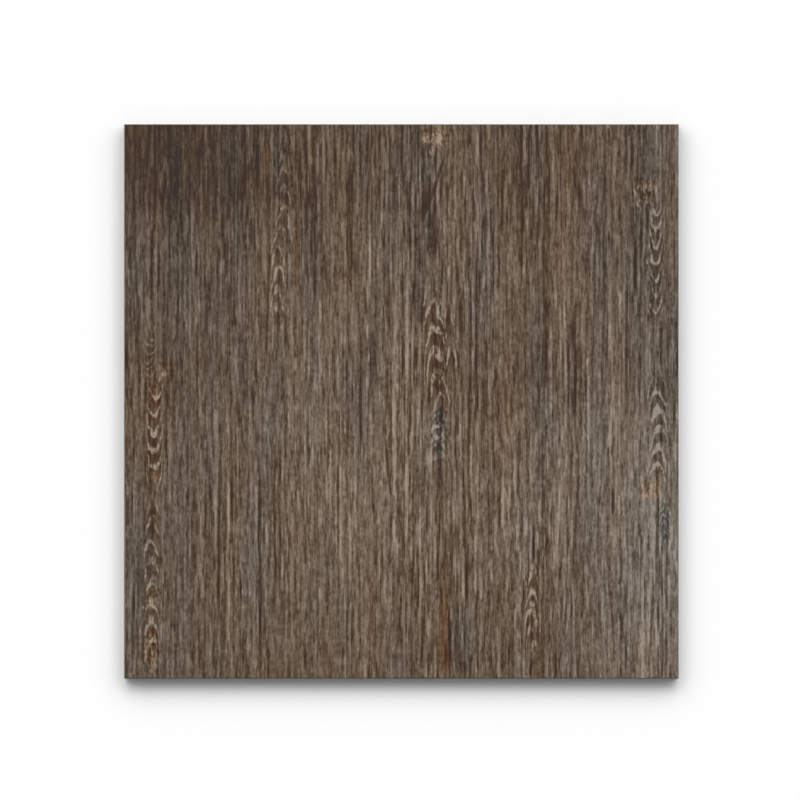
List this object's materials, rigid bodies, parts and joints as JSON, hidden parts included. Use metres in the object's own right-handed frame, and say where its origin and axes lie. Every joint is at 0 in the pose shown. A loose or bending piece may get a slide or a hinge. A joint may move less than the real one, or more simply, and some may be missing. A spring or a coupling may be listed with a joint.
{
  "type": "wood-look porcelain tile",
  "caption": "Square rectified porcelain tile with a dark brown-grey oak grain print on a lightly embossed face, a fine ground arris and a keyed back for adhesive.",
  "frame": {"origin": "centre of the back, on the plane of the rib tops that the tile lies on", "axes": "+Z out of the printed face, +Y along the printed grain, +X across the grain"},
  "size_m": [0.6, 0.6, 0.009],
  "materials": {
    "printed_porcelain": "matte"
  },
  "bodies": {
    "root": {"porcelain_tile": "printed_porcelain"}
  },
  "joints": []
}
